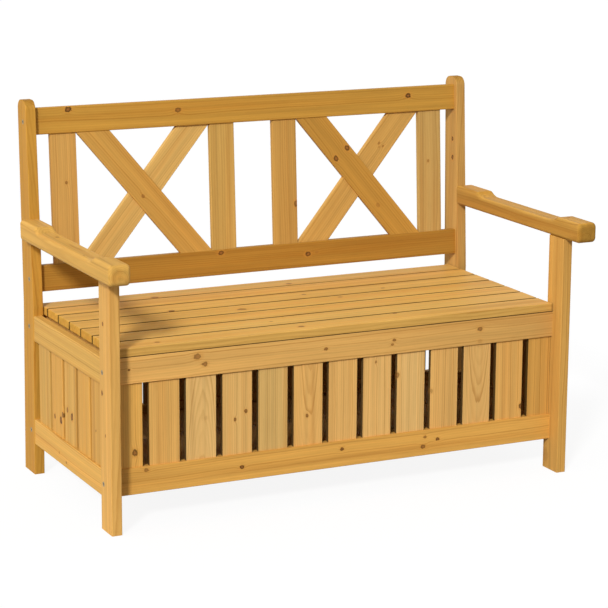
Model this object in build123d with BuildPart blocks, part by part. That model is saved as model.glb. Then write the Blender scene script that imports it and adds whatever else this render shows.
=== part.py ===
"""Two-seat garden storage bench in oiled softwood.

Frame: +X to the sitter's left-to-right seen from the front, +Y to the back, +Z up.
The origin is on the floor, under the middle of the bench's overall width and depth.
"""

import os
from math import cos, hypot, radians, sin, sqrt, tan

from build123d import *

os.makedirs("parts", exist_ok=True)

# Legs and posts
leg_span = 1122.0          # over the outer faces of the legs
leg_board = 23.5           # thickness of legs and posts
leg_depth = 62.0           # front leg, front to back
leg_height = 551.0         # floor to the underside of the arms
base_depth = 559.0         # front leg's front face to the rear foot's back edge
post_height = 860.5
post_depth = 68.0          # rear post at and below the knee
post_top_depth = 54.0
post_top_round = 20.0
knee_height = 396.0
foot_kick = 13.0           # how far the rear foot stands behind the knee
back_tilt = 3.3            # degrees that the back leans

# Arms
arm_nose = 63.0            # overhang in front of the legs
arm_width = 48.0
arm_inset = 1.5            # overhang inside the legs
arm_height = 45.0
arm_scoop = 10.5           # depth of the hollow in the arm's top
scoop_front = 86.0         # from the leg's front face to the hollow's flat
scoop_rear = 362.0
scoop_front_run = 54.0     # length of the hollow's front and rear curves
scoop_rear_run = 34.0
scoop_lip_round = 12.0
arm_nose_round = 11.0
arm_edge_round = 8.0
arm_tenon_width = 11.0
arm_tenon_depth = 40.0
arm_tenon_height = 20.0

# Box rails and slats
rail_height = 59.0
rail_board = 20.0          # thickness of every rail
box_rail_bottom = 73.0
box_top = 376.0
front_rail_setback = 37.0  # behind the leg's front face
rear_rail_setback = 39.0   # in front of the rear foot's back edge
end_rail_inset = 1.0       # inside the leg's outer face
slat_board = 10.0          # thickness of the upright slats
slat_width = 71.0
panel_slat_count = 13
slat_overlap = 8.5         # of a panel's end slats, cut off at the legs
panel_slat_shifts = {"front": 2.5, "rear": 6.5}  # of a row of slats, to the right
end_slat_count = 5
end_slat_shift = 10.0      # of the end slats, to the front
mortise_depth = 8.0
tenon_margin = 9.0         # rail tenon, in from the rail's edges
tenon_board = 10.0

# Back panel
back_rail_setback = 12.0   # behind the post's front edge
back_seat_gap = 31.7       # seat's top to the low rail's lower edge
back_top_clear = 18.7      # high rail's upper edge to the post's top
back_rail_height = 60.0
back_slat_width = 61.8
back_slat_inner = 80.0     # centre of the bench to a slat's middle
back_slat_outer = 470.0
back_slat_board = 12.0
brace_width = 61.7
brace_board = 12.0
brace_step = 4.0           # how far the front brace stands proud where two cross
brace_gap = 1.0            # between a brace's corner and the slat beside it

# Seat
seat_board = 19.0
seat_end_gap = 1.0         # between the seat boards' ends and the arms that the lid swings past
lid_front = 36.0           # leg's front face to the lid's front edge
lid_front_slat = 63.0
lid_slat_count = 5         # behind the front slat
seat_back_depth = 59.0     # fixed board behind the lid
lid_gap = 5.0
lid_rest = 0.3             # lid above the rails
batten_width = 45.0
batten_board = 20.0
batten_places = (-480.0, -165.0, 165.0, 480.0)
batten_front_clear = 15.0  # behind the front rail, so that the lid swings free
batten_rear_clear = 8.0
cleat_width = 20.0
cleat_height = 24.0
cleat_inset = 12.0         # inside the legs

# Floor of the box
floor_board = 10.0
floor_top = 110.0
floor_board_count = 12
floor_gap = 7.0
floor_cleat = 20.0
floor_side_gap = 2.0

# Hinges
hinge_places = (-380.0, 0.0, 380.0)
hinge_length = 60.0
hinge_drop = 3.2           # pin's axis below the lid's top
leaf_board = 1.2
leaf_height = 12.0
leaf_clear = 0.5           # between a leaf and the other leaf's knuckle
barrel_radius = 2.2
pin_radius = 1.2
pin_fit = 0.06
knuckle_gap = 0.3

# Bolts
bolt_radius = 3.0
bolt_length = 62.0
arm_bolt_length = 85.0
arm_bolt_sink = 1.0        # head's face inside the post's back edge
bolt_head_radius = 5.5
bolt_head_height = 4.0
bolt_socket_radius = 2.5
bolt_socket_depth = 2.5

# Screws up through the battens
screw_radius = 2.0
screw_head_radius = 4.0
screw_head_height = 2.5
lid_screw_cover = 6.0      # board left above a screw's tip

# Clearances and eased edges
fit = 0.1                  # around bolts, pins, tenons and slat ends
end_clear = 1.0            # past the end of a tenon, slat or bolt
edge_round = 2.0
slat_round = 1.5

# Places worked out from the sizes above
front_y = (arm_nose - base_depth) / 2
leg_back_y = front_y + leg_depth
leg_outer = leg_span / 2
leg_inner = leg_outer - leg_board
leg_mid = (leg_outer + leg_inner) / 2
knee_back_y = front_y + base_depth - foot_kick
knee_front_y = knee_back_y - post_depth
front_rail_y = front_y + front_rail_setback
front_rail_mid_y = front_rail_y + rail_board / 2
rear_rail_y = front_y + base_depth - rear_rail_setback - rail_board
rear_rail_mid_y = rear_rail_y + rail_board / 2
box_rail_levels = (box_rail_bottom, box_top - rail_height)
slat_bottom = box_rail_bottom + rail_height - mortise_depth
slat_top = box_top - rail_height + mortise_depth - end_clear
end_rail_mid = leg_outer - end_rail_inset - rail_board / 2
seat_end = leg_inner - arm_inset - seat_end_gap
lid_bottom = box_top + lid_rest
lid_top = lid_bottom + seat_board
lid_front_rear_y = front_y + lid_front + lid_front_slat
seat_back_y = rear_rail_y + rail_board - seat_back_depth
lid_rear_y = seat_back_y - lid_gap
lid_slat_width = (lid_rear_y - lid_front_rear_y) / lid_slat_count - lid_gap
pin_y = lid_rear_y + lid_gap / 2
pin_z = lid_top - hinge_drop
bolt_levels = tuple(level + rail_height / 2 for level in box_rail_levels)

tilt = radians(back_tilt)
back_plane = Plane(
    origin=(0, knee_front_y + back_rail_setback + rail_board / 2, knee_height),
    x_dir=(1, 0, 0),
    z_dir=(0, -cos(tilt), sin(tilt)),
)
back_low_start = (lid_top + back_seat_gap - knee_height) / cos(tilt)
back_low_edge = back_low_start + back_rail_height
back_high_edge = (post_height - back_top_clear - knee_height) / cos(tilt) - back_rail_height
back_opening = back_high_edge - back_low_edge
back_rail_starts = {"bottom": back_low_start, "top": back_high_edge}
back_slat_places = (-back_slat_outer, -back_slat_inner, back_slat_inner, back_slat_outer)
sides = {"left": -1, "right": 1}


def post_front(z):
    """Y of the rear post's front edge at height z."""
    if z < knee_height:
        return knee_front_y + foot_kick * (knee_height - z) / knee_height
    return knee_front_y + (z - knee_height) * tan(tilt)


def post_back(z):
    """Y of the rear post's back edge at height z."""
    if z < knee_height:
        return post_front(z) + post_depth
    rise = (z - knee_height) / (post_height - knee_height)
    return knee_back_y + rise * (post_front(post_height) + post_top_depth - knee_back_y)


def block(x, y, z, mode=Mode.ADD):
    """Box between two values along each axis."""
    with Locations(((x[0] + x[1]) / 2, (y[0] + y[1]) / 2, (z[0] + z[1]) / 2)):
        Box(abs(x[1] - x[0]), abs(y[1] - y[0]), abs(z[1] - z[0]), mode=mode)


def cross_bolt_places():
    """Middle plane Y and Z of each bolt that runs along X, with the rail that it holds."""
    front = [(front_rail_mid_y, z) for z in bolt_levels]
    rear = [(rear_rail_mid_y, z) for z in bolt_levels]
    for start in back_rail_starts.values():
        middle = back_plane.from_local_coords((0, start + back_rail_height / 2, 0))
        rear.append((middle.Y, middle.Z))
    return front, rear


front_bolts, rear_bolts = cross_bolt_places()


def bolt_hole(sign, y, z):
    """Hole along X for a bolt and its sunk head, from the outer face inwards."""
    hole_length = bolt_length + end_clear
    with Locations((sign * (leg_outer - hole_length / 2), y, z)):
        Cylinder(bolt_radius + fit, hole_length, rotation=(0, 90, 0), mode=Mode.SUBTRACT)
    with Locations((sign * (leg_outer - bolt_head_height / 2), y, z)):
        Cylinder(bolt_head_radius + fit, bolt_head_height, rotation=(0, 90, 0), mode=Mode.SUBTRACT)


def end_rail_outline(bottom, top, reach=0.0):
    """Side outline of an end rail or of its tenons, which reach into the leg and the post."""
    return [
        (leg_back_y - reach, bottom),
        (post_front(bottom) + reach, bottom),
        (post_front(top) + reach, top),
        (leg_back_y - reach, top),
    ]


def side_plate(x, outline, thickness, mode=Mode.ADD):
    """Plate of a side outline in Y and Z, centred on x."""
    with BuildSketch(Plane.YZ.offset(x)) as plate:
        Polygon(*outline, align=None)
    extrude(plate.sketch, amount=thickness / 2, both=True, mode=mode)


def panel_plate(outline, thickness, mode=Mode.ADD, level=0.0):
    """Plate of an outline in the leaning back panel, centred on a level in front of its middle."""
    with BuildSketch(back_plane.offset(level)) as plate:
        Polygon(*outline, align=None)
    extrude(plate.sketch, amount=thickness / 2, both=True, mode=mode)


def rectangle_outline(x, v):
    """Corners of a rectangle between two values along each axis."""
    return [(x[0], v[0]), (x[1], v[0]), (x[1], v[1]), (x[0], v[1])]


def end_tenon_hole(sign, level):
    """Mortise in a leg or a post for an end rail's tenon."""
    outline = end_rail_outline(
        level + tenon_margin - fit, level + rail_height - tenon_margin + fit, mortise_depth + end_clear
    )
    side_plate(sign * end_rail_mid, outline, tenon_board + 2 * fit, Mode.SUBTRACT)


def slat_row(low, high, count, end_share):
    """Middles of a row of slats; the two end gaps are end_share of the gaps between."""
    gap = (high - low - count * slat_width) / (count - 1 + 2 * end_share)
    first = low + end_share * gap + slat_width / 2
    return [first + index * (slat_width + gap) for index in range(count)]


def clipped_slats(middles, low, high):
    """Spans of a row of slats, cut off where they pass low or high."""
    half = slat_width / 2
    return [(max(middle - half, low), min(middle + half, high)) for middle in middles]


def save(builder, name):
    """Label a finished piece and write it."""
    builder.part.label = name
    export_step(builder.part, f"parts/{name}.step")


# Front legs
for side, sign in sides.items():
    with BuildPart() as front_leg:
        block((sign * leg_inner, sign * leg_outer), (front_y, leg_back_y), (0, leg_height))
        fillet(front_leg.edges().filter_by(Axis.Z), edge_round)
        with Locations((sign * leg_mid, front_y + leg_depth / 2, leg_height)):
            Box(
                arm_tenon_width, arm_tenon_depth, arm_tenon_height,
                align=(Align.CENTER, Align.CENTER, Align.MIN),
            )
        for level in box_rail_levels:
            end_tenon_hole(sign, level)
        for y, z in front_bolts:
            bolt_hole(sign, y, z)
    save(front_leg, f"front_leg_{side}")

# Rear posts
post_outline = [
    (post_front(0), 0),
    (post_back(0), 0),
    (knee_back_y, knee_height),
    (post_back(post_height), post_height),
    (post_front(post_height), post_height),
    (knee_front_y, knee_height),
]
arm_bolt_z = leg_height + (arm_height - arm_scoop) / 2
arm_bolt_head_y = post_back(arm_bolt_z) - arm_bolt_sink


def arm_bolt_hole(sign):
    """Hole along Y for the bolt that holds an arm to its post."""
    hole_length = arm_bolt_length + end_clear
    with Locations((sign * leg_mid, arm_bolt_head_y - hole_length / 2, arm_bolt_z)):
        Cylinder(bolt_radius + fit, hole_length, rotation=(90, 0, 0), mode=Mode.SUBTRACT)
    with Locations((sign * leg_mid, arm_bolt_head_y, arm_bolt_z)):
        Cylinder(bolt_head_radius + fit, 2 * bolt_head_height, rotation=(90, 0, 0), mode=Mode.SUBTRACT)


for side, sign in sides.items():
    with BuildPart() as rear_post:
        with BuildSketch(Plane.YZ.offset(sign * leg_mid)) as post_side:
            Polygon(*post_outline, align=None)
            fillet(post_side.vertices().group_by(Axis.Y)[-1], post_top_round)
        extrude(amount=leg_board / 2, both=True)
        side_edges = rear_post.faces().filter_by(Axis.X).edges()
        fillet([edge for edge in side_edges if edge.center().Z > slat_round], slat_round)
        for level in box_rail_levels:
            end_tenon_hole(sign, level)
        for y, z in rear_bolts:
            bolt_hole(sign, y, z)
        arm_bolt_hole(sign)
    save(rear_post, f"rear_post_{side}")

# Arms, with a shallow hollow along the top
arm_bottom = leg_height
arm_top = arm_bottom + arm_height
hollow_z = arm_top - arm_scoop
arm_front_y = front_y - arm_nose
scoop_points = [
    (front_y + scoop_front - scoop_front_run, arm_top),
    (front_y + scoop_front, hollow_z),
    (front_y + scoop_rear, hollow_z),
    (front_y + scoop_rear + scoop_rear_run, arm_top),
]
for side, sign in sides.items():
    with BuildPart() as arm:
        with BuildSketch(Plane.YZ.offset(sign * (leg_inner - arm_inset + arm_width / 2))) as arm_side:
            with BuildLine():
                Polyline(
                    scoop_points[3],
                    (post_front(arm_top), arm_top),
                    (post_front(arm_bottom), arm_bottom),
                    (arm_front_y, arm_bottom),
                    (arm_front_y, arm_top),
                    scoop_points[0],
                )
                TangentArc(scoop_points[1], scoop_points[0], tangent=(-1, 0))
                Line(scoop_points[1], scoop_points[2])
                TangentArc(scoop_points[2], scoop_points[3], tangent=(1, 0))
            make_face()
            fillet(arm_side.vertices().group_by(Axis.X)[0], arm_nose_round)
            top_corners = arm_side.vertices().group_by(Axis.Y)[-1].sort_by(Axis.X)
            fillet(top_corners[1:3], scoop_lip_round)
        extrude(amount=arm_width / 2, both=True)
        side_edges = arm.faces().filter_by(Axis.X).edges()
        fillet([edge for edge in side_edges if edge.center().Y < post_front(arm_bottom)], arm_edge_round)
        with Locations((sign * leg_mid, front_y + leg_depth / 2, arm_bottom)):
            Box(
                arm_tenon_width + 2 * fit, arm_tenon_depth + 2 * fit, arm_tenon_height + end_clear,
                align=(Align.CENTER, Align.CENTER, Align.MIN), mode=Mode.SUBTRACT,
            )
        arm_bolt_hole(sign)
    save(arm, f"arm_{side}")

# Front and rear panels of the box: two rails and a row of slats each
box_rails = {
    "bottom": (box_rail_levels[0], slat_bottom),
    "top": (box_rail_levels[1], box_rail_levels[1]),
}
panel_slat_spans = {
    panel: clipped_slats(
        slat_row(-leg_inner - slat_overlap + shift, leg_inner + slat_overlap + shift, panel_slat_count, 0.0),
        -leg_inner, leg_inner,
    )
    for panel, shift in panel_slat_shifts.items()
}


def spread(middle, width):
    """Lowest and highest value of a width about its middle."""
    return middle - width / 2, middle + width / 2


for panel, middle_y in (("front", front_rail_mid_y), ("rear", rear_rail_mid_y)):
    for name, (level, mouth) in box_rails.items():
        with BuildPart() as box_rail:
            block((-leg_inner, leg_inner), spread(middle_y, rail_board), (level, level + rail_height))
            fillet(box_rail.edges().filter_by(Axis.X), edge_round)
            for low, high in panel_slat_spans[panel]:
                block(
                    (low - fit, high + fit),
                    spread(middle_y, slat_board + 2 * fit),
                    (mouth, mouth + mortise_depth),
                    Mode.SUBTRACT,
                )
            for sign in sides.values():
                bolt_hole(sign, middle_y, level + rail_height / 2)
        save(box_rail, f"{panel}_{name}_rail")

for index, span in enumerate(panel_slat_spans["front"], 1):
    with BuildPart() as front_slat:
        block(span, spread(front_rail_mid_y, slat_board), (slat_bottom, slat_top))
        fillet(front_slat.edges().filter_by(Axis.Z), slat_round)
    save(front_slat, f"front_slat_{index:02d}")

with BuildPart() as rear_slats:
    for span in panel_slat_spans["rear"]:
        block(span, spread(rear_rail_mid_y, slat_board), (slat_bottom, slat_top))
    fillet(rear_slats.edges().filter_by(Axis.Z), slat_round)
save(rear_slats, "rear_slats")

# End panels: rails tenoned into the leg and the post, and a row of slats
end_slat_row = slat_row(leg_back_y, post_front(slat_top), end_slat_count, 0.5)
end_slat_spans = clipped_slats(
    [middle - end_slat_shift for middle in end_slat_row], leg_back_y, post_front(slat_top)
)
for side, sign in sides.items():
    for name, (level, mouth) in box_rails.items():
        with BuildPart() as end_rail:
            side_plate(sign * end_rail_mid, end_rail_outline(level, level + rail_height), rail_board)
            fillet(end_rail.edges().filter_by(Axis.Y), edge_round)
            tenon = end_rail_outline(level + tenon_margin, level + rail_height - tenon_margin, mortise_depth)
            side_plate(sign * end_rail_mid, tenon, tenon_board)
            for low, high in end_slat_spans:
                block(
                    spread(sign * end_rail_mid, slat_board + 2 * fit),
                    (low - fit, high + fit),
                    (mouth, mouth + mortise_depth),
                    Mode.SUBTRACT,
                )
        save(end_rail, f"end_{name}_rail_{side}")
    with BuildPart() as end_slats:
        for span in end_slat_spans:
            block(spread(sign * end_rail_mid, slat_board), span, (slat_bottom, slat_top))
        fillet(end_slats.edges().filter_by(Axis.Z), slat_round)
    save(end_slats, f"end_slats_{side}")

# Back rest: two rails, four upright slats and two crossed pairs of braces
back_mouths = {"bottom": back_low_edge - mortise_depth, "top": back_high_edge}
for name, start in back_rail_starts.items():
    with BuildPart() as back_rail:
        outline = rectangle_outline((-leg_inner, leg_inner), (start, start + back_rail_height))
        panel_plate(outline, rail_board)
        fillet(back_rail.edges().filter_by(Axis.X), edge_round)
        for middle in back_slat_places:
            mouth = (back_mouths[name], back_mouths[name] + mortise_depth)
            hole = rectangle_outline(spread(middle, back_slat_width + 2 * fit), mouth)
            panel_plate(hole, back_slat_board + 2 * fit, Mode.SUBTRACT)
        bolt_middle = back_plane.from_local_coords((0, start + back_rail_height / 2, 0))
        for sign in sides.values():
            bolt_hole(sign, bolt_middle.Y, bolt_middle.Z)
    save(back_rail, f"back_{name}_rail")

for index, middle in enumerate(back_slat_places, 1):
    with BuildPart() as back_slat:
        reach = (back_low_edge - mortise_depth, back_high_edge + mortise_depth - end_clear)
        panel_plate(rectangle_outline(spread(middle, back_slat_width), reach), back_slat_board)
        fillet(back_slat.edges().sort_by(SortBy.LENGTH)[-4:], slat_round)
    save(back_slat, f"back_slat_{index}")

brace_mid = (back_slat_inner + back_slat_outer) / 2
brace_span = back_slat_outer - back_slat_inner - back_slat_width - 2 * brace_gap
brace_reach = hypot(brace_span, back_opening)
brace_slope_run = back_opening * sqrt(brace_reach ** 2 - brace_width ** 2) - brace_width * brace_span
brace_end = brace_width * brace_slope_run / (back_opening ** 2 - brace_width ** 2)


def brace_outline(middle, lean, spare=0.0):
    """Brace from corner to corner between two slats; it rises to the right where lean is 1."""
    low = -lean * (brace_span - brace_end) / 2
    half = brace_end / 2 + spare
    return [
        (middle + low - half, back_low_edge),
        (middle + low + half, back_low_edge),
        (middle - low + half, back_high_edge),
        (middle - low - half, back_high_edge),
    ]


brace_level = brace_step / 2
lap_depth = brace_board - brace_step
for side, sign in sides.items():
    for layer, facing in (("front", 1), ("rear", -1)):
        with BuildPart() as brace:
            panel_plate(brace_outline(sign * brace_mid, -facing), brace_board, level=facing * brace_level)
            fillet(brace.edges().sort_by(SortBy.LENGTH)[-4:], slat_round)
            panel_plate(
                brace_outline(sign * brace_mid, facing, 2 * fit), lap_depth / 2 + fit, Mode.SUBTRACT,
                level=facing * (fit / 2 - lap_depth / 4),
            )
        save(brace, f"back_brace_{side}_{layer}")

# Lid: long boards on battens
lid_slat_spans = [(front_y + lid_front, lid_front_rear_y)]
for _ in range(lid_slat_count):
    start = lid_slat_spans[-1][1] + lid_gap
    lid_slat_spans.append((start, start + lid_slat_width))
batten_span = (front_rail_y + rail_board + batten_front_clear, lid_rear_y - batten_rear_clear)
batten_bottom = lid_bottom - batten_board
lid_screw_places = [
    (x, (max(low, batten_span[0]) + min(high, batten_span[1])) / 2)
    for x in batten_places
    for low, high in lid_slat_spans
]
lid_screw_top = lid_top - lid_screw_cover


def lid_screw_hole(x, y):
    """Hole up from the batten's underside for a screw and its sunk head."""
    with Locations((x, y, batten_bottom)):
        Cylinder(
            screw_radius + fit, lid_screw_top + end_clear - batten_bottom,
            align=(Align.CENTER, Align.CENTER, Align.MIN), mode=Mode.SUBTRACT,
        )
        Cylinder(
            screw_head_radius + fit, screw_head_height,
            align=(Align.CENTER, Align.CENTER, Align.MIN), mode=Mode.SUBTRACT,
        )


for index, span in enumerate(lid_slat_spans, 1):
    with BuildPart() as lid_slat:
        block((-seat_end, seat_end), span, (lid_bottom, lid_top))
        fillet(lid_slat.edges(), edge_round)
        for x, y in lid_screw_places:
            if span[0] < y < span[1]:
                lid_screw_hole(x, y)
    save(lid_slat, f"lid_slat_{index}")

with BuildPart() as lid_battens:
    for x in batten_places:
        block(spread(x, batten_width), batten_span, (batten_bottom, lid_bottom))
    fillet(lid_battens.faces().group_by(Axis.Z)[0].edges(), edge_round)
    for x, y in lid_screw_places:
        lid_screw_hole(x, y)
save(lid_battens, "lid_battens")

with BuildPart() as lid_screws:
    with Locations(*[(x, y, batten_bottom) for x, y in lid_screw_places]):
        Cylinder(
            screw_radius, lid_screw_top - batten_bottom, align=(Align.CENTER, Align.CENTER, Align.MIN)
        )
        Cylinder(
            screw_head_radius, screw_head_height, align=(Align.CENTER, Align.CENTER, Align.MIN)
        )
save(lid_screws, "lid_screws")

# Fixed part of the seat and the cleats under its ends
with BuildPart() as seat_back_board:
    block((-seat_end, seat_end), (seat_back_y, rear_rail_y + rail_board), (box_top, box_top + seat_board))
    fillet(seat_back_board.edges(), edge_round)
save(seat_back_board, "seat_back_board")

for side, sign in sides.items():
    with BuildPart() as seat_cleat:
        block(
            (sign * (leg_inner - cleat_inset - cleat_width), sign * (leg_inner - cleat_inset)),
            (front_rail_y + rail_board, rear_rail_y),
            (box_top - cleat_height, box_top),
        )
        fillet(seat_cleat.edges().filter_by(Axis.Y), slat_round)
    save(seat_cleat, f"seat_cleat_{side}")

# Floor of the box
floor_end = leg_inner - floor_side_gap
floor_bottom = floor_top - floor_board
floor_board_width = (2 * floor_end - (floor_board_count - 1) * floor_gap) / floor_board_count
with BuildPart() as floor_boards:
    for index in range(floor_board_count):
        start = -floor_end + index * (floor_board_width + floor_gap)
        block(
            (start, start + floor_board_width),
            (front_rail_y + rail_board + floor_side_gap, rear_rail_y - floor_side_gap),
            (floor_bottom, floor_top),
        )
    fillet(floor_boards.edges().filter_by(Axis.Y), slat_round)
save(floor_boards, "floor_boards")

with BuildPart() as floor_cleats:
    for start in (front_rail_y + rail_board, rear_rail_y - floor_cleat):
        block(
            (-floor_end, floor_end),
            (start, start + floor_cleat),
            (floor_bottom - floor_cleat, floor_bottom),
        )
    fillet(floor_cleats.edges().filter_by(Axis.X), slat_round)
save(floor_cleats, "floor_cleats")


# Hinges in the gap behind the lid
def hinge_leaf(x, face_y, inward, knuckles):
    """Leaf on a board's edge at face_y, with its knuckles round the pin."""
    faces = (face_y, face_y + inward * leaf_board)
    plate_top = pin_z - barrel_radius - leaf_clear
    block(spread(x, hinge_length), faces, (plate_top - leaf_height, plate_top))
    for low, high in knuckles:
        block((x + low, x + high), faces, (plate_top, pin_z))
        with Locations((x + (low + high) / 2, pin_y, pin_z)):
            Cylinder(barrel_radius, high - low, rotation=(0, 90, 0))
    with Locations((x, pin_y, pin_z)):
        Cylinder(pin_radius + pin_fit, hinge_length, rotation=(0, 90, 0), mode=Mode.SUBTRACT)


knuckle_edge = hinge_length / 6
lid_knuckles = [(-knuckle_edge + knuckle_gap, knuckle_edge - knuckle_gap)]
fixed_knuckles = [(-hinge_length / 2, -knuckle_edge), (knuckle_edge, hinge_length / 2)]
with BuildPart() as hinge_leaves_fixed:
    for x in hinge_places:
        hinge_leaf(x, seat_back_y, -1, fixed_knuckles)
save(hinge_leaves_fixed, "hinge_leaves_fixed")

with BuildPart() as hinge_leaves_lid:
    for x in hinge_places:
        hinge_leaf(x, lid_rear_y, 1, lid_knuckles)
save(hinge_leaves_lid, "hinge_leaves_lid")

with BuildPart() as hinge_pins:
    with Locations(*[(x, pin_y, pin_z) for x in hinge_places]):
        Cylinder(pin_radius, hinge_length, rotation=(0, 90, 0))
save(hinge_pins, "hinge_pins")


# Bolts that hold the frame together
def socket_bolt(head_plane, length):
    """Bolt with a hexagon socket; its head's outer face lies in head_plane, which faces outwards."""
    with BuildSketch(head_plane) as head:
        Circle(bolt_head_radius)
    extrude(head.sketch, amount=-bolt_head_height)
    with BuildSketch(head_plane) as shank:
        Circle(bolt_radius)
    extrude(shank.sketch, amount=-length)
    with BuildSketch(head_plane) as socket:
        RegularPolygon(bolt_socket_radius, 6)
    extrude(socket.sketch, amount=-bolt_socket_depth, mode=Mode.SUBTRACT)


with BuildPart() as frame_bolts:
    for sign in sides.values():
        for y, z in front_bolts + rear_bolts:
            socket_bolt(Plane(origin=(sign * leg_outer, y, z), z_dir=(sign, 0, 0)), bolt_length)
save(frame_bolts, "frame_bolts")

with BuildPart() as arm_bolts:
    for sign in sides.values():
        head_face = (sign * leg_mid, arm_bolt_head_y, arm_bolt_z)
        socket_bolt(Plane(origin=head_face, z_dir=(0, 1, 0)), arm_bolt_length)
save(arm_bolts, "arm_bolts")
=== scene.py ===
"""Looks of the garden storage bench: oiled softwood boards, zinc-plated bolts and hinges."""

from math import cos, radians, sin, sqrt

import bpy
from mathutils import Matrix, Vector


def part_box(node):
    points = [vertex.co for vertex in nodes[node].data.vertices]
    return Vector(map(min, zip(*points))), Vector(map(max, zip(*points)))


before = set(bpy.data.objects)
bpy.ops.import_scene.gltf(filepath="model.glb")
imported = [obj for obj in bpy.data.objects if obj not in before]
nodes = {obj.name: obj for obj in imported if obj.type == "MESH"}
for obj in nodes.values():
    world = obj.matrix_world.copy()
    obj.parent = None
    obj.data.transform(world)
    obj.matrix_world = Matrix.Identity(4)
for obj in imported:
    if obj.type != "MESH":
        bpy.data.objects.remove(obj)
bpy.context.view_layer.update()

# Camera, with its place in metres
CAMERA_PLACE = Vector((-2.1851, -4.5136, 1.5363))
CAMERA_YAW = radians(25.89)
CAMERA_PITCH = radians(12.77)
CAMERA_ROLL = radians(-0.35)
FOCAL_PIXELS = 2263.7
PHOTO_PIXELS = 608
SENSOR_MM = 36.0

# Back rest: its tilt, and the width of a brace in metres
BACK_TILT = radians(3.3)
BRACE_WIDTH = 0.0617

# Boards that share a node: about where the first one's middle is, and the spacing, in metres
REAR_SLATS = (-0.5040, 0.08508)
END_SLATS = (-0.1542, 0.08367)
FLOOR_BOARDS = (-0.4941, 0.08983)
FLOOR_CLEATS = (-0.181, 0.423)
LID_BATTENS = (-0.480, 0.320)

# How far the boards of such a row differ, and how close two of their numbers are when they are the same
ROW_WARMTH = 0.6
ROW_VALUE = 0.1
SAME_NUMBER = 0.1

X, Y, Z = Vector((1, 0, 0)), Vector((0, 1, 0)), Vector((0, 0, 1))
PANEL_UP = Vector((0, sin(BACK_TILT), cos(BACK_TILT)))
PANEL_OUT = Vector((0, -cos(BACK_TILT), sin(BACK_TILT)))


def srgb(red, green, blue):
    """Linear colour of an 8-bit sRGB one."""
    def linear(value):
        share = value / 255
        return share / 12.92 if share <= 0.04045 else ((share + 0.055) / 1.055) ** 2.4
    return (linear(red), linear(green), linear(blue), 1.0)


# Colours
EARLY_COOL = srgb(216, 177, 112)
EARLY_WARM = srgb(222, 170, 96)
LATE_COOL = srgb(182, 138, 76)
LATE_WARM = srgb(184, 126, 58)
STREAK = srgb(200, 140, 70)
OIL = (1.0, 0.87, 0.42, 1.0)
KNOT_CORE = srgb(138, 86, 42)
KNOT_RIM = srgb(50, 31, 12)
KNOT_HALO = srgb(204, 136, 58)
ZINC = srgb(162, 148, 118)

# Noises in the wood: waves per metre along and across the grain, then detail and roughness
BEND_NOISE = (2.2, 9.0, 1.5, 0.5)
WOBBLE_NOISE = (14.0, 150.0, 3.0, 0.5)
STREAK_NOISE = (1.0, 42.0, 2.0, 0.5)
BAND_NOISE = (1.6, 85.0, 2.0, 0.5)
CLOUD_NOISE = (2.5, 12.0, 2.0, 0.5)
FIBRE_NOISE = (22.0, 900.0, 2.0, 0.6)
PORE_NOISE = (40.0, 1500.0, 1.0, 0.5)
BOARD_SHIFT = (7.31, 3.17, 5.71)  # of the noises, from one seed to the next
NOISE_MIDDLE = (0.5, 0.5, 0.5)

# Growth rings: how far the noises bend them, in metres, and where in a ring the late wood lies
BEND = 0.018
WOBBLE = 0.0025
LATE_START = 0.3
LATE_PEAK = 0.88
FAINTEST_RING = 0.15

# Parts of the noises that show as streaks and as pores
STREAK_RANGE = (0.46, 0.72)
PORE_RANGE = (0.62, 0.76)

# How much the late wood, the streaks and the knots colour a board
LATE_SHARE = 0.85
STREAK_SHARE = 0.4
HALO_SHARE = 0.5
CORE_SHARE = 0.9
RIM_SHARE = 0.95

# How much the noises shade a board, and how dark the painted shade is in the gap at a joint with another
# board
CLOUD_SHADE = 0.25
BAND_SHADE = 0.5
FIBRE_SHADE = 0.2
PORE_SHADE = 0.08
PAINTED_GAP_DARKNESS = 0.85

# Oil and roughness that an end gains for each share of its brightness that it loses
END_OIL = 2.5
END_ROUGH = 0.9

# Surface of the wood: its roughness, the heights that make up its relief, and its gloss
LEAST_ROUGH = 0.46
FIBRE_ROUGH = 0.16
LATE_HEIGHT = 0.5
FIBRE_HEIGHT = 0.6
PORE_HEIGHT = -0.5
RIM_HEIGHT = -0.6
BUMP_STRENGTH = 0.35
BUMP_METRES = 0.0005
WOOD_SPECULAR = 0.08

# A knot's width over its length along the grain
KNOT_STRETCH = 0.75

# How many rings a knot pushes aside at its middle, and how fast that fades outwards
KNOT_PUSH = 1.2
KNOT_PUSH_FALL = -0.22

# Waves per metre and detail of a knot's ragged outline, then distances in radii of the knot
KNOT_NOISE = (190.0, 3.0)
KNOT_RAGGED = 1.1
CORE_RANGE = (0.25, 1.15)
RIM_RISE = (0.25, 0.75)
RIM_FALL = (0.75, 1.1)
HALO_RANGE = (0.7, 2.1)

# Cosines at which a face counts as an end, a flat side, lying at a joint with painted shade, or flat at one
END_FACES = (0.15, 0.9)
FLAT_FACES = (0.6, 0.95)
PAINTED_GAP_FACES = (0.3, 0.75)
PAINTED_GAP_FLATS = (0.98, 0.999)

# Zinc: waves per metre and detail of its blotches, and what they change
ZINC_NOISE = (240.0, 3.0)
ZINC_SHADE = 0.5
ZINC_LEAST_ROUGH = 0.38
ZINC_MORE_ROUGH = 0.2


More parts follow.
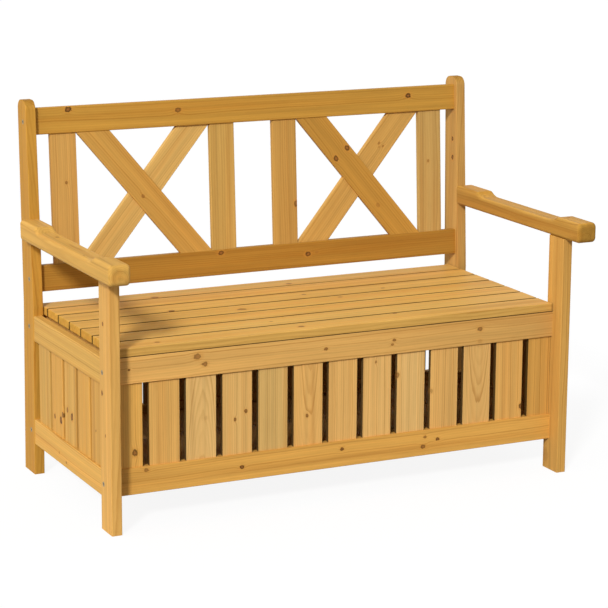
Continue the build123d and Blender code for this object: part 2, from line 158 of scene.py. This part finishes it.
class Tree:
    """Adds nodes to a shader tree and links their inputs."""

    def __init__(self, tree):
        self.tree = tree

    def feed(self, socket, value):
        """Link another node's output to a socket, or set the socket to a fixed value."""
        if isinstance(value, bpy.types.NodeSocket):
            self.tree.links.new(value, socket)
        else:
            socket.default_value = value

    def add(self, kind, inputs=None, **settings):
        """New node, with its settings made before its inputs."""
        node = self.tree.nodes.new(kind)
        for name, value in settings.items():
            setattr(node, name, value)
        for socket, value in (inputs or {}).items():
            self.feed(node.inputs[socket], value)
        return node

    def math(self, operation, first, second=0.0, third=0.0):
        node = self.add("ShaderNodeMath", {0: first, 1: second, 2: third}, operation=operation)
        return node.outputs[0]

    def vector(self, operation, first, second=(0, 0, 0)):
        node = self.add("ShaderNodeVectorMath", {0: first, 1: second}, operation=operation)
        return node.outputs["Value" if operation == "DOT_PRODUCT" else "Vector"]

    def join(self, x, y, z):
        return self.add("ShaderNodeCombineXYZ", {0: x, 1: y, 2: z}).outputs[0]

    def all_three(self, value):
        """Vector or grey with one value in all three places."""
        return self.join(value, value, value)

    def split(self, vector):
        return self.add("ShaderNodeSeparateXYZ", {0: vector}).outputs

    def length(self, x, y):
        """Length of a line that goes x one way and y square to it."""
        squares = self.math("ADD", self.math("MULTIPLY", x, x), self.math("MULTIPLY", y, y))
        return self.math("SQRT", squares)

    def ramp(self, value, low, high, start=0.0, end=1.0):
        """Smooth change from start to end as a value goes from low to high."""
        settings = {"Value": value, "From Min": low, "From Max": high, "To Min": start, "To Max": end}
        node = self.add("ShaderNodeMapRange", settings, interpolation_type="SMOOTHSTEP")
        return node.outputs["Result"]

    def noise(self, vector, scale, detail, roughness=0.5):
        settings = {"Vector": vector, "Scale": scale, "Detail": detail, "Roughness": roughness}
        return self.add("ShaderNodeTexNoise", settings).outputs

    def chance(self, seed):
        """Random value and colour of a seed."""
        return self.add("ShaderNodeTexWhiteNoise", {"W": seed}, noise_dimensions="1D").outputs

    def about(self, middle, noise, spread):
        """Value that a noise moves about its middle, by spread from end to end."""
        return self.math("MULTIPLY_ADD", noise, spread, middle - spread / 2)

    def mix(self, share, first, second, blend="MIX"):
        """Mix of two colours, which have the node's sockets 6 and 7 and its output 2."""
        inputs = {0: share, 6: first, 7: second}
        return self.add("ShaderNodeMix", inputs, data_type="RGBA", blend_type=blend).outputs[2]

    def shaded(self, colour, shade):
        return self.mix(1.0, colour, self.all_three(shade), "MULTIPLY")


def new_group(name, inputs, outputs):
    """Empty node group with its sockets, and its input and output nodes."""
    group = bpy.data.node_groups.new(name, "ShaderNodeTree")
    for direction, sockets in (("INPUT", inputs), ("OUTPUT", outputs)):
        for socket, kind in sockets.items():
            group.interface.new_socket(socket, in_out=direction, socket_type=f"NodeSocket{kind}")
    tree = Tree(group)
    return tree, tree.add("NodeGroupInput").outputs, tree.add("NodeGroupOutput").inputs


def new_material(name):
    """Material with an empty tree."""
    material = bpy.data.materials.new(name)
    material.use_nodes = True
    material.node_tree.nodes.clear()
    return material, Tree(material.node_tree)


def make_knot_group():
    """One knot: how many rings it pushes aside, and its core, rim and halo."""
    tree, given, made = new_group(
        "knot",
        {"Board": "Vector", "Along": "Float", "Across": "Float", "Size": "Float", "Strength": "Float"},
        {"Warp": "Float", "Marks": "Vector"},
    )
    ragged = tree.noise(given["Board"], *KNOT_NOISE)["Color"]
    ragged = tree.split(tree.vector("SUBTRACT", ragged, NOISE_MIDDLE))
    place = tree.split(given["Board"])
    along = tree.math("MULTIPLY", tree.math("SUBTRACT", place[0], given["Along"]), KNOT_STRETCH)
    across = tree.math("SUBTRACT", place[1], given["Across"])
    spread = tree.math("MULTIPLY", given["Size"], KNOT_RAGGED)
    along = tree.math("MULTIPLY_ADD", ragged[0], spread, along)
    across = tree.math("MULTIPLY_ADD", ragged[1], spread, across)
    far = tree.math("DIVIDE", tree.length(along, across), given["Size"])
    fall = tree.math("MULTIPLY", tree.math("MULTIPLY", far, far), KNOT_PUSH_FALL)
    warp = tree.math("MULTIPLY", tree.math("EXPONENT", fall), KNOT_PUSH)
    strength = given["Strength"]
    core = tree.ramp(far, *CORE_RANGE, 1.0, 0.0)
    rim = tree.math("MULTIPLY", tree.ramp(far, *RIM_RISE), tree.ramp(far, *RIM_FALL, 1.0, 0.0))
    rim = tree.math("MULTIPLY", rim, strength)
    halo = tree.ramp(far, *HALO_RANGE, 1.0, 0.0)
    marks = tree.vector("MULTIPLY", tree.join(core, rim, halo), tree.all_three(strength))
    tree.feed(made["Warp"], tree.math("MULTIPLY", warp, strength))
    tree.feed(made["Marks"], marks)
    return tree.tree


def make_wood_group():
    """Board sawn from a log: growth rings round a pith, colour streaks, fibres, knots and end grain."""
    tree, given, made = new_group(
        "wood",
        {
            "Board": "Vector", "Seed": "Float", "Pith across": "Float", "Pith depth": "Float",
            "Pith lean": "Float", "Ring": "Float", "Warmth": "Float", "Value": "Float", "Oil": "Float",
            "Warp": "Float", "Marks": "Vector", "End": "Float", "Painted side shade": "Float", "Painted gap shade": "Float",
        },
        {"Color": "Color", "Roughness": "Float", "Height": "Float"},
    )
    u, v, w = tree.split(given["Board"])
    seed = given["Seed"]
    shift = tree.vector("MULTIPLY", tree.all_three(seed), BOARD_SHIFT)

    def grain_noise(along, across, detail, roughness):
        """Noise drawn out along the grain, different on each board."""
        place = tree.vector("MULTIPLY", given["Board"], (along, across, across))
        return tree.noise(tree.vector("ADD", place, shift), 1.0, detail, roughness)

    bend = tree.split(tree.vector("SUBTRACT", grain_noise(*BEND_NOISE)["Color"], NOISE_MIDDLE))
    wobble = grain_noise(*WOBBLE_NOISE)["Fac"]
    across = tree.math("SUBTRACT", v, given["Pith across"])
    across = tree.math("MULTIPLY_ADD", bend[0], BEND, across)
    depth = tree.math("SUBTRACT", w, given["Pith depth"])
    depth = tree.math("SUBTRACT", depth, tree.math("MULTIPLY", u, given["Pith lean"]))
    depth = tree.math("MULTIPLY_ADD", bend[1], BEND, depth)
    radius = tree.math("MULTIPLY_ADD", wobble, WOBBLE, tree.length(across, depth))
    phase = tree.math("ADD", tree.math("DIVIDE", radius, given["Ring"]), given["Warp"])
    share = tree.math("FRACT", phase)
    strength = tree.chance(tree.math("ADD", tree.math("FLOOR", phase), seed))["Value"]
    strength = tree.math("MULTIPLY", strength, strength)
    strength = tree.math("MULTIPLY_ADD", strength, 1.0 - FAINTEST_RING, FAINTEST_RING)
    late = tree.math(
        "MULTIPLY", tree.ramp(share, LATE_START, LATE_PEAK), tree.ramp(share, LATE_PEAK, 1.0, 1.0, 0.0)
    )
    late = tree.math("MULTIPLY", late, strength)

    streak = tree.ramp(grain_noise(*STREAK_NOISE)["Fac"], *STREAK_RANGE)
    band = grain_noise(*BAND_NOISE)["Fac"]
    cloud = grain_noise(*CLOUD_NOISE)["Fac"]
    fibre = grain_noise(*FIBRE_NOISE)["Fac"]
    pores = tree.ramp(grain_noise(*PORE_NOISE)["Fac"], *PORE_RANGE)

    early = tree.mix(given["Warmth"], EARLY_COOL, EARLY_WARM)
    dark = tree.mix(given["Warmth"], LATE_COOL, LATE_WARM)
    colour = tree.mix(tree.math("MULTIPLY", late, LATE_SHARE), early, dark)
    colour = tree.mix(tree.math("MULTIPLY", streak, STREAK_SHARE), colour, STREAK)
    shade = tree.about(1.0, cloud, CLOUD_SHADE)
    for factor in (
        tree.about(1.0, band, BAND_SHADE),
        tree.about(1.0, fibre, FIBRE_SHADE),
        tree.math("MULTIPLY_ADD", pores, -PORE_SHADE, 1.0),
        tree.math("SUBTRACT", 1.0, given["End"]),
        # Painted shade on the narrow sides
        tree.math("SUBTRACT", 1.0, given["Painted side shade"]),
        # Painted shade in the gaps at joints with other boards
        tree.math("MULTIPLY_ADD", given["Painted gap shade"], -PAINTED_GAP_DARKNESS, 1.0),
        given["Value"],
    ):
        shade = tree.math("MULTIPLY", shade, factor)
    colour = tree.shaded(colour, shade)
    oiled = tree.math("MULTIPLY_ADD", given["End"], END_OIL, given["Oil"])
    colour = tree.mix(oiled, colour, OIL, "MULTIPLY")
    core, rim, halo = tree.split(given["Marks"])
    colour = tree.mix(tree.math("MULTIPLY", halo, HALO_SHARE), colour, KNOT_HALO)
    colour = tree.mix(tree.math("MULTIPLY", core, CORE_SHARE), colour, KNOT_CORE)
    colour = tree.mix(tree.math("MULTIPLY", rim, RIM_SHARE), colour, KNOT_RIM)

    rough = tree.math("MULTIPLY_ADD", fibre, FIBRE_ROUGH, LEAST_ROUGH)
    rough = tree.math("MULTIPLY_ADD", given["End"], END_ROUGH, rough)
    height = tree.math("MULTIPLY", fibre, FIBRE_HEIGHT)
    for part, amount in ((late, LATE_HEIGHT), (pores, PORE_HEIGHT), (rim, RIM_HEIGHT)):
        height = tree.math("MULTIPLY_ADD", part, amount, height)
    for output, value in (("Color", colour), ("Roughness", rough), ("Height", height)):
        tree.feed(made[output], value)
    return tree.tree


knot_group = make_knot_group()
wood_group = make_wood_group()


def middle_along(node, axes):
    """Middle of a node along each of three axes."""
    places = [[vertex.co.dot(axis) for vertex in nodes[node].data.vertices] for axis in axes]
    return [(min(row) + max(row)) / 2 for row in places]


def wood_material(node, axes, seed, warmth=0.5, value=1.0, fade=0.0, edge=0.03, end=0.2, oil=0.3,
                  pith=(0.11, -0.04), lean=0.01, ring=0.0045, knots=(), row=None, joints=()):
    """Wood for one node. axes run along the board, across it and through it.

    pith is the log's centre across and through the board, lean how far it runs out along the board, and
    ring the width of a growth ring. A knot is its place along and across its board from the board's middle,
    its radius, how dark it is and, where a row of boards shares the node, its board's number from 0. value
    is the board's brightness, fade the painted shade that it gains per metre along the board, edge the
    painted shade on its narrow sides, end what its ends lose, and oil deepens the colour. joints are
    directions in
    which another board lies close: the rounded edges there get painted shade for the gap, and so does the
    flat side where the joint says so.
    """
    material, tree = new_material(f"wood_{node}")
    coordinates = tree.add("ShaderNodeTexCoord").outputs
    middle = middle_along(node, axes)
    if row:
        middle[1] = row[0]
    along, across, through = (
        tree.math("SUBTRACT", tree.vector("DOT_PRODUCT", coordinates["Object"], axis), centre)
        for axis, centre in zip(axes, middle)
    )
    board_seed = float(seed)
    number = None
    if row:
        spacing = row[1]
        number = tree.math("ROUND", tree.math("DIVIDE", across, spacing))
        across = tree.math("SUBTRACT", across, tree.math("MULTIPLY", number, spacing))
        board_seed = tree.math("ADD", number, float(seed))
        chance = tree.chance(board_seed)
        warmth = tree.about(warmth, chance["Value"], ROW_WARMTH)
        value = tree.about(value, tree.split(chance["Color"])[2], ROW_VALUE)
    # Painted shade along the board: darker towards its far end, lighter towards its near end
    if fade:
        value = tree.math("MULTIPLY_ADD", along, -fade, value)
    board = tree.join(along, across, through)

    warp, marks = 0.0, (0.0, 0.0, 0.0)
    for place_along, place_across, size, strength, *own_number in knots:
        if own_number:
            is_own = tree.math("COMPARE", number, float(own_number[0]), SAME_NUMBER)
            strength = tree.math("MULTIPLY", is_own, strength)
        knot = tree.add("ShaderNodeGroup", {
            "Board": board, "Along": place_along, "Across": place_across, "Size": size, "Strength": strength,
        }, node_tree=knot_group)
        warp = tree.math("ADD", knot.outputs["Warp"], warp)
        marks = tree.vector("MAXIMUM", knot.outputs["Marks"], marks)

    facing_end = tree.math("ABSOLUTE", tree.vector("DOT_PRODUCT", coordinates["Normal"], axes[0]))
    # Narrow sides, which turn away from the board's flat sides, get painted shade
    facing_flat = tree.math("ABSOLUTE", tree.vector("DOT_PRODUCT", coordinates["Normal"], axes[2]))
    # Painted shade in the gaps at joints: on rounded edges that face another board, and on the flat side too
    # where the joint says so
    painted_gap_shade = 0.0
    for way, flat in joints:
        turned = tree.vector("DOT_PRODUCT", coordinates["Normal"], way)
        near = tree.ramp(turned, *PAINTED_GAP_FACES)
        if not flat:
            near = tree.math("MULTIPLY", near, tree.ramp(turned, *PAINTED_GAP_FLATS, 1.0, 0.0))
        painted_gap_shade = tree.math("MAXIMUM", near, painted_gap_shade)
    wood = tree.add("ShaderNodeGroup", {
        "Board": board, "Seed": board_seed, "Pith across": pith[0], "Pith depth": pith[1],
        "Pith lean": lean, "Ring": ring, "Warmth": warmth, "Value": value, "Oil": oil, "Warp": warp,
        "Marks": marks, "End": tree.ramp(facing_end, *END_FACES, 0.0, end),
        "Painted side shade": tree.ramp(facing_flat, *FLAT_FACES, edge, 0.0), "Painted gap shade": painted_gap_shade,
    }, node_tree=wood_group)
    bump = tree.add("ShaderNodeBump", {
        "Height": wood.outputs["Height"], "Strength": BUMP_STRENGTH, "Distance": BUMP_METRES,
    })
    surface = tree.add("ShaderNodeBsdfPrincipled", {
        "Base Color": wood.outputs["Color"], "Roughness": wood.outputs["Roughness"],
        "Normal": bump.outputs["Normal"], "Specular IOR Level": WOOD_SPECULAR,
    })
    tree.add("ShaderNodeOutputMaterial", {"Surface": surface.outputs[0]})
    return material


def steel_material():
    """Zinc-plated steel with a fine, slightly blotchy sheen."""
    material, tree = new_material("zinc_steel")
    blotch = tree.noise(tree.add("ShaderNodeTexCoord").outputs["Object"], *ZINC_NOISE)["Fac"]
    surface = tree.add("ShaderNodeBsdfPrincipled", {
        "Base Color": tree.shaded(ZINC, tree.about(1.0, blotch, ZINC_SHADE)), "Metallic": 1.0,
        "Roughness": tree.math("MULTIPLY_ADD", blotch, ZINC_MORE_ROUGH, ZINC_LEAST_ROUGH),
    })
    tree.add("ShaderNodeOutputMaterial", {"Surface": surface.outputs[0]})
    return material


def brace_axes(node, lean):
    """Axes of a brace that rises to the right where lean is 1."""
    low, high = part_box(node)
    span, rise = high.x - low.x, (high.z - low.z) / cos(BACK_TILT)
    reach = sqrt(span ** 2 + rise ** 2 - BRACE_WIDTH ** 2)
    foot = BRACE_WIDTH * (rise * reach - BRACE_WIDTH * span) / (rise ** 2 - BRACE_WIDTH ** 2)
    run = Vector((span - foot, rise)).normalized()
    along = run.x * X + lean * run.y * PANEL_UP
    return along, PANEL_OUT.cross(along), PANEL_OUT


def side_of(index):
    """1 for odd boards and -1 for even ones, so that every other board is turned round."""
    return 1 if index % 2 else -1


def background_rays(tree):
    """1 for rays that show the background itself, directly, in a gloss or through glass, and 0 for others."""
    rays = tree.add("ShaderNodeLightPath").outputs
    seen = tree.math("MAXIMUM", rays["Is Camera Ray"], rays["Is Glossy Ray"])
    return tree.math("MAXIMUM", seen, rays["Is Transmission Ray"])


# Axes along, across and through a board
ALONG_X_UPRIGHT = (X, Z, Y)
ALONG_X_FLAT = (X, Y, Z)
ALONG_Y_UPRIGHT = (Y, Z, X)
ALONG_Y_FLAT = (Y, X, Z)
UPRIGHT_FRONT = (Z, X, Y)
UPRIGHT_SIDE = (Z, Y, X)
PANEL_RAIL = (X, PANEL_UP, PANEL_OUT)
PANEL_SLAT = (PANEL_UP, X, PANEL_OUT)

# Painted shade in the gaps of boards that have a neighbour on each side
SLAT_PAINTED_GAPS = [(X, True), (-X, True)]
LID_PAINTED_GAPS = [(Y, True), (-Y, True), (-Z, False)]

# Each wooden node: its axes, then what sets its board apart
boards = {
    # The back rest's boards have low values, partly their own tone and partly painted shade; the top rail is
    # also painted darker towards its right end
    "back_top_rail": (PANEL_RAIL, dict(
        warmth=0.5, value=0.765, fade=0.05, oil=0.97, pith=(0.09, -0.05), lean=0.004,
        knots=[
            (-0.4568, 0.0232, 0.0062, 0.95), (-0.190, 0.0071, 0.006, 0.8), (0.4102, 0.0093, 0.006, 1.0),
        ],
    )),
    "back_bottom_rail": (PANEL_RAIL, dict(
        warmth=1.0, value=0.58, oil=0.92, pith=(-0.10, -0.05), lean=-0.006,
        knots=[(-0.0915, 0.0224, 0.0058, 0.9), (0.1346, 0.0012, 0.0058, 0.9), (0.158, 0.004, 0.004, 0.3)],
    )),
    "back_slat_1": (PANEL_SLAT, dict(
        warmth=0.7, value=0.90, oil=0.33, pith=(-0.08, -0.04), knots=[(0.0358, 0.0045, 0.003, 0.7)],
    )),
    "back_slat_2": (PANEL_SLAT, dict(warmth=0.0, value=0.87, oil=0.58, pith=(0.09, -0.06), ring=0.0052)),
    "back_slat_3": (PANEL_SLAT, dict(
        warmth=0.65, value=0.76, oil=0.48, pith=(-0.07, -0.05), knots=[(-0.0524, 0.0285, 0.006, 0.8)],
    )),
    "back_slat_4": (PANEL_SLAT, dict(
        warmth=0.0, value=0.79, oil=0.35, pith=(0.06, -0.05), ring=0.0052,
        knots=[(0.025, -0.004, 0.003, 0.6)],
    )),
    # Painted shade towards its right end, and in the joint along its rounded top edges under the lid
    "front_top_rail": (ALONG_X_UPRIGHT, dict(
        warmth=0.8, value=0.965, fade=0.26, oil=0.18, pith=(0.10, 0.06), lean=0.004, joints=[(Z, False)],
        knots=[
            (-0.3479, 0.0147, 0.0066, 0.7), (-0.3307, -0.0036, 0.0052, 0.77), (-0.0427, 0.0, 0.0036, 0.84),
            (-0.5043, 0.0018, 0.0022, 0.98), (0.1269, 0.0031, 0.0034, 0.84), (0.122, -0.0067, 0.0028, 0.7),
            (0.3456, 0.0067, 0.0052, 0.77), (0.3463, -0.0213, 0.005, 0.28),
        ],
    )),
    "front_bottom_rail": (ALONG_X_UPRIGHT, dict(
        warmth=0.8, value=0.97, oil=0.62, pith=(-0.10, 0.06), lean=-0.006,
        knots=[
            (-0.4671, 0.0221, 0.0045, 0.7), (-0.2441, 0.0005, 0.0042, 1), (-0.001, 0.0112, 0.0038, 1),
            (0.204, -0.0081, 0.0048, 0.84), (0.2088, 0.0136, 0.0032, 0.77), (0.2412, 0.005, 0.0036, 1),
        ],
    )),
    "rear_top_rail": (ALONG_X_UPRIGHT, dict(
        pith=(-0.09, -0.05), knots=[(-0.21, 0.006, 0.006, 0.8), (0.33, -0.011, 0.005, 0.6)],
    )),
    "rear_bottom_rail": (ALONG_X_UPRIGHT, dict(warmth=0.55, oil=0.44, knots=[(0.08, 0.012, 0.005, 0.7)])),
    # Painted gap shade on its front side and on its lower rounded edges
    "seat_back_board": (ALONG_X_FLAT, dict(
        warmth=0.05, value=1.08, oil=0.68, pith=(0.08, -0.06), joints=[(-Y, True), (-Z, False)],
        knots=[(-0.270, -0.0226, 0.007, 0.7), (0.076, -0.0151, 0.006, 0.7)],
    )),
    "rear_slats": (UPRIGHT_FRONT, dict(warmth=0.5, pith=(0.07, 0.05), row=REAR_SLATS, joints=SLAT_PAINTED_GAPS)),
    "floor_boards": (ALONG_Y_FLAT, dict(warmth=0.5, row=FLOOR_BOARDS)),
    "floor_cleats": (ALONG_X_FLAT, dict(warmth=0.5, row=FLOOR_CLEATS)),
    "lid_battens": (ALONG_Y_FLAT, dict(warmth=0.5, row=LID_BATTENS)),
    "front_leg_left": (UPRIGHT_SIDE, dict(
        warmth=0.65, value=0.99, oil=0.4, pith=(0.10, 0.05),
        knots=[
            (0.0163, 0.0176, 0.0042, 0.96), (0.1669, 0.0089, 0.0038, 0.9), (-0.073, 0.0005, 0.003, 0.72),
        ],
    )),
    "front_leg_right": (UPRIGHT_SIDE, dict(
        warmth=0.7, value=0.85, oil=0.52, pith=(-0.09, 0.06), knots=[(-0.255, 0.02, 0.014, 0.3)],
    )),
    "rear_post_left": (UPRIGHT_SIDE, dict(warmth=0.7, value=0.79, oil=1.0, pith=(0.09, 0.07))),
    "rear_post_right": (UPRIGHT_SIDE, dict(
        warmth=0.65, value=0.76, oil=0.35, pith=(-0.08, 0.05),
        knots=[(0.278, -0.001, 0.0044, 1.0), (0.233, -0.003, 0.0052, 1.0)],
    )),
    "arm_left": (ALONG_Y_FLAT, dict(
        warmth=0.25, value=0.93, end=0.0, oil=0.72, pith=(0.004, -0.004), lean=0.006, ring=0.0036,
        knots=[(0.109, 0.004, 0.004, 0.6), (-0.10, -0.012, 0.003, 0.4)],
    )),
    # Painted shade on its narrow sides, which come out darker than its top
    "arm_right": (ALONG_Y_FLAT, dict(
        warmth=0.55, value=0.85, edge=0.22, end=0.18, oil=0.8, pith=(-0.004, -0.012), lean=-0.006,
        ring=0.0036, knots=[(-0.195, 0.0, 0.003, 0.7)],
    )),
}

# Front slats from the left: warmth, value, oil and knots
front_slat_looks = [
    (0.5, 1.10, 0.60, [(-0.0602, 0.0141, 0.0062, 0.9)]),
    (0.7, 1.00, 0.27, []),
    (0.3, 1.09, 0.00, [(-0.0023, 0.0112, 0.004, 0.2)]),
    (0.3, 1.02, 0.13, [(0.0025, 0.0204, 0.0036, 0.9), (-0.0136, -0.0057, 0.0032, 0.85)]),
    (0.0, 0.96, 0.25, []),
    (0.85, 1.04, 0.06, [(-0.0247, -0.0028, 0.0034, 0.85)]),
    (0.7, 1.02, 0.04, []),
    (0.6, 1.08, 0.00, [(0.0786, -0.0037, 0.0026, 0.7)]),
    (0.3, 1.10, 0.00, [(0.043, -0.0341, 0.005, 0.7)]),
    (0.85, 0.98, 0.03, [(-0.0037, -0.0317, 0.004, 0.45)]),
    (0.7, 0.99, 0.00, []),
    (0.9, 0.97, 0.22, [(-0.0657, 0.0336, 0.005, 1.0)]),
    (0.75, 0.87, 0.54, []),
]
# Slats sawn through the middle of a log, with arched grain, and how far its centre leans
arched_slats = {3: 0.09, 6: -0.07, 11: -0.10}
ARCHED_PITH = (0.004, 0.022)
ARCHED_RING = 0.0042
# The other slats, whose grain changes in uneven steps from one to the next
SLAT_PITH_NEAR = 0.06
SLAT_PITH_SPREAD = 0.05
SLAT_PITH_STEP = 0.37
SLAT_PITH_DEPTH = 0.04
SLAT_LEAN = 0.02
SLAT_LEAN_STEP = 1.7
for index, (warmth, value, oil, knots) in enumerate(front_slat_looks, 1):
    look = dict(warmth=warmth, value=value, oil=oil, knots=knots, joints=SLAT_PAINTED_GAPS)
    if index in arched_slats:
        look.update(pith=ARCHED_PITH, lean=arched_slats[index], ring=ARCHED_RING)
    else:
        pith_across = side_of(index) * (SLAT_PITH_NEAR + SLAT_PITH_SPREAD * (index * SLAT_PITH_STEP % 1))
        look.update(pith=(pith_across, SLAT_PITH_DEPTH), lean=SLAT_LEAN * sin(index * SLAT_LEAN_STEP))
    boards[f"front_slat_{index:02d}"] = (UPRIGHT_FRONT, look)

# The lid's boards, which also change in uneven steps
LID_WARMTH = 0.12
LID_WARMTH_STEP = 2.3
LID_PITH_ACROSS = 0.08
LID_PITH_DEPTH = -0.05
LID_PITH_SPREAD = 0.02
LID_PITH_STEP = 0.61
LID_LEAN = 0.008
LID_LEAN_STEP = 1.9
# Their knots, from the front board to the rear one
lid_knots = [
    [(-0.089, -0.002, 0.0055, 0.81), (-0.430, -0.0054, 0.005, 0.61), (0.157, 0.0253, 0.004, 0.74)],
    [(-0.129, -0.0009, 0.003, 0.68)],
    [],
    [(-0.138, -0.0076, 0.008, 0.68), (0.121, 0.0151, 0.0045, 0.68)],
    [(-0.289, -0.029, 0.006, 1), (0.056, 0.0024, 0.005, 0.68), (0.257, -0.0111, 0.004, 0.68)],
    [],
]
for index, knots in enumerate(lid_knots, 1):
    pith_depth = LID_PITH_DEPTH - LID_PITH_SPREAD * (index * LID_PITH_STEP % 1)
    boards[f"lid_slat_{index}"] = (ALONG_X_FLAT, dict(
        warmth=LID_WARMTH + LID_WARMTH * sin(index * LID_WARMTH_STEP), value=1.09, oil=0.65, knots=knots,
        pith=(side_of(index) * LID_PITH_ACROSS, pith_depth), lean=LID_LEAN * cos(index * LID_LEAN_STEP),
        joints=LID_PAINTED_GAPS,
    ))
# The front board has no other board in front of it, so only its rear side gets painted gap shade; it has more
# painted shade on its narrow sides and towards its right end
boards["lid_slat_1"][1].update(value=1.06, fade=0.1, edge=0.14, joints=[(Y, True), (-Z, False)])

# Both ends of the box; the slats' knots say on which slat from the front they are
end_slat_knots = {
    "left": [
        (-0.053, 0.0186, 0.0045, 0.84, 3), (-0.052, -0.0207, 0.007, 1, 3), (-0.037, -0.032, 0.005, 0.84, 3),
        (-0.018, 0.0194, 0.005, 0.84, 2), (-0.027, -0.0088, 0.007, 0.96, 2), (-0.02, 0.0102, 0.002, 0.96, 0),
    ],
    "right": [(0.031, 0.012, 0.005, 0.84, 1), (-0.042, -0.014, 0.004, 0.72, 4)],
}
for side in ("left", "right"):
    boards[f"end_top_rail_{side}"] = (ALONG_Y_UPRIGHT, dict(
        warmth=0.1, value=0.92, oil=0.7, pith=(0.09, 0.05),
    ))
    boards[f"end_bottom_rail_{side}"] = (ALONG_Y_UPRIGHT, dict(
        warmth=0.4, oil=0.65, pith=(-0.09, 0.05),
        knots=[(0.0049, -0.0162, 0.003, 0.7), (0.0497, -0.0053, 0.003, 0.45)],
    ))
    boards[f"end_slats_{side}"] = (UPRIGHT_SIDE, dict(
        warmth=0.5, value=0.89, oil=0.6, pith=(0.07, 0.05), row=END_SLATS, knots=end_slat_knots[side],
    ))
    boards[f"seat_cleat_{side}"] = (ALONG_Y_UPRIGHT, dict(warmth=0.5))

# Braces: which way they rise, warmth, value, oil and knots
BRACE_PITH_ACROSS = 0.08
BRACE_PITH_DEPTH = -0.05
brace_looks = {
    "left_front": (-1, 0.6, 0.84, 0.64, [(0.0014, -0.0104, 0.004, 0.65)]),
    "left_rear": (1, 0.0, 0.98, 0.42, []),
    "right_front": (-1, 0.8, 0.72, 0.82, [
        (-0.0736, 0.0214, 0.006, 0.9), (-0.0746, -0.0162, 0.006, 0.9), (0.0885, -0.0076, 0.005, 0.4),
    ]),
    "right_rear": (1, 0.5, 0.86, 0.48, [
        (0.0958, 0.0045, 0.0032, 0.6), (0.0966, -0.0088, 0.0028, 0.55), (0.0883, -0.0016, 0.0024, 0.4),
    ]),
}
for name, (rise, warmth, value, oil, knots) in brace_looks.items():
    node = f"back_brace_{name}"
    boards[node] = (brace_axes(node, rise), dict(
        warmth=warmth, value=value, oil=oil, pith=(rise * BRACE_PITH_ACROSS, BRACE_PITH_DEPTH), knots=knots,
    ))

# Materials: each board has its own, and all other nodes are steel
steel = steel_material()
for seed, (name, node) in enumerate(sorted(nodes.items()), 1):
    node.data.materials.clear()
    if name in boards:
        axes, look = boards[name]
        node.data.materials.append(wood_material(name, axes, seed, **look))
    else:
        node.data.materials.append(steel)

# Stage: a white floor that keeps a soft shadow
FLOOR_SIZE = 80.0
FLOOR_GLOW = 0.90
FLOOR_BOUNCE = 0.35
FLOOR_SHADOWED = 0.11
bpy.ops.mesh.primitive_plane_add(size=FLOOR_SIZE, location=(0, 0, 0))
floor = bpy.context.object
floor.name = "floor"
floor_material, floor_tree = new_material("floor")
seen = background_rays(floor_tree)
tone = floor_tree.math("MULTIPLY_ADD", seen, FLOOR_SHADOWED - FLOOR_BOUNCE, FLOOR_BOUNCE)
matt = floor_tree.add("ShaderNodeBsdfDiffuse", {"Color": floor_tree.all_three(tone)})
glow = floor_tree.add("ShaderNodeEmission", {"Strength": floor_tree.math("MULTIPLY", seen, FLOOR_GLOW)})
both = floor_tree.add("ShaderNodeAddShader", {0: matt.outputs[0], 1: glow.outputs[0]})
floor_tree.add("ShaderNodeOutputMaterial", {"Surface": both.outputs[0]})
floor.data.materials.append(floor_material)

# Light: a white world, brightest from the left, and a soft sun from the front left
WHITE = (1, 1, 1, 1)
WORLD_EVEN = 0.17
WORLD_MORE = {(0, 0, 1): 0.18, (-1, 0, 0): 1.25, (1, 0, 0): 0.5, (0, 1, 0): 0.4}
SUN_STRENGTH = 2.78
SUN_SPREAD = radians(9.0)
SUN_TURN = radians(42.0)
SUN_HEIGHT = radians(32.0)
SUN_FROM = Vector((
    -sin(SUN_TURN) * cos(SUN_HEIGHT), -cos(SUN_TURN) * cos(SUN_HEIGHT), sin(SUN_HEIGHT),
))
world = bpy.data.worlds.new("studio")
bpy.context.scene.world = world
world.use_nodes = True
world.node_tree.nodes.clear()
world_tree = Tree(world.node_tree)
way = world_tree.add("ShaderNodeTexCoord").outputs["Generated"]
light = WORLD_EVEN
for side, amount in WORLD_MORE.items():
    share = world_tree.math("MAXIMUM", world_tree.vector("DOT_PRODUCT", way, side), 0.0)
    light = world_tree.math("MULTIPLY_ADD", world_tree.math("MULTIPLY", share, share), amount, light)
seen = background_rays(world_tree)
light = world_tree.math("MULTIPLY_ADD", light, world_tree.math("SUBTRACT", 1.0, seen), seen)
backdrop = world_tree.add("ShaderNodeBackground", {"Color": WHITE, "Strength": light})
world_tree.add("ShaderNodeOutputWorld", {"Surface": backdrop.outputs[0]})

sun = bpy.data.objects.new("sun", bpy.data.lights.new("sun", "SUN"))
sun.data.energy = SUN_STRENGTH
sun.data.angle = SUN_SPREAD
sun.rotation_mode = "QUATERNION"
sun.rotation_quaternion = SUN_FROM.to_track_quat("Z", "Y")
bpy.context.scene.collection.objects.link(sun)

# Camera at the photograph's viewpoint
forward = Vector((
    sin(CAMERA_YAW) * cos(CAMERA_PITCH), cos(CAMERA_YAW) * cos(CAMERA_PITCH), -sin(CAMERA_PITCH),
))
level_right = Vector((cos(CAMERA_YAW), -sin(CAMERA_YAW), 0))
level_down = forward.cross(level_right)
right = cos(CAMERA_ROLL) * level_right + sin(CAMERA_ROLL) * level_down
down = -sin(CAMERA_ROLL) * level_right + cos(CAMERA_ROLL) * level_down
camera = bpy.data.objects.new("camera", bpy.data.cameras.new("camera"))
camera.data.sensor_width = SENSOR_MM
camera.data.lens = FOCAL_PIXELS / PHOTO_PIXELS * SENSOR_MM
turn = Matrix((right, -down, -forward)).transposed().to_4x4()
camera.matrix_world = Matrix.Translation(CAMERA_PLACE) @ turn
bpy.context.scene.collection.objects.link(camera)
bpy.context.scene.camera = camera
bpy.context.scene.view_settings.view_transform = "Standard"
